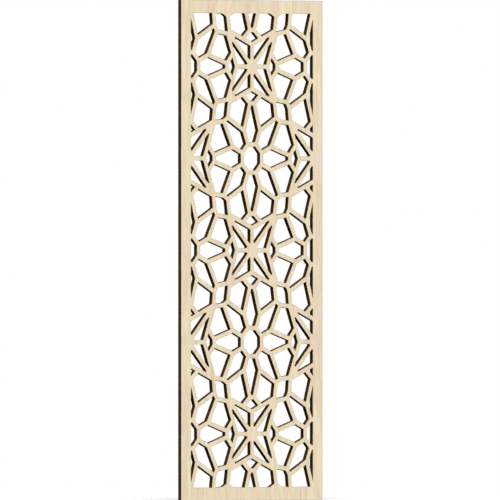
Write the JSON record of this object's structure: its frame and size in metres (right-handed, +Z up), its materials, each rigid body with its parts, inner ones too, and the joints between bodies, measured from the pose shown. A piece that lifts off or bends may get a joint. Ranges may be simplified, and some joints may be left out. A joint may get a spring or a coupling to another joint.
{
  "type": "fretwork panel",
  "caption": "Tall flat plywood screen panel with a plain margin, cut through with a geometric lattice of spoked stars and octagonal rosettes; divides a space and lets light and air through.",
  "frame": {"origin": "middle of the bottom edge, half way through the sheet", "axes": "+X to the right seen from the front, +Y from the front face to the back face, +Z up"},
  "size_m": [0.8, 0.019, 2.1],
  "materials": {
    "face_birch": "sanded pale birch, charred cut edges",
    "long_birch": "charred cut edge, long grain",
    "cross_birch": "charred cut edge, end grain"
  },
  "bodies": {
    "root": {"front_face_veneer": "face_birch", "cross_veneer_1": "cross_birch", "long_veneer_1": "long_birch", "cross_veneer_2": "cross_birch", "long_veneer_2": "long_birch", "cross_veneer_3": "cross_birch", "core_veneer": "long_birch", "cross_veneer_4": "cross_birch", "long_veneer_3": "long_birch", "cross_veneer_5": "cross_birch", "long_veneer_4": "long_birch", "cross_veneer_6": "cross_birch", "back_face_veneer": "face_birch"}
  },
  "joints": []
}
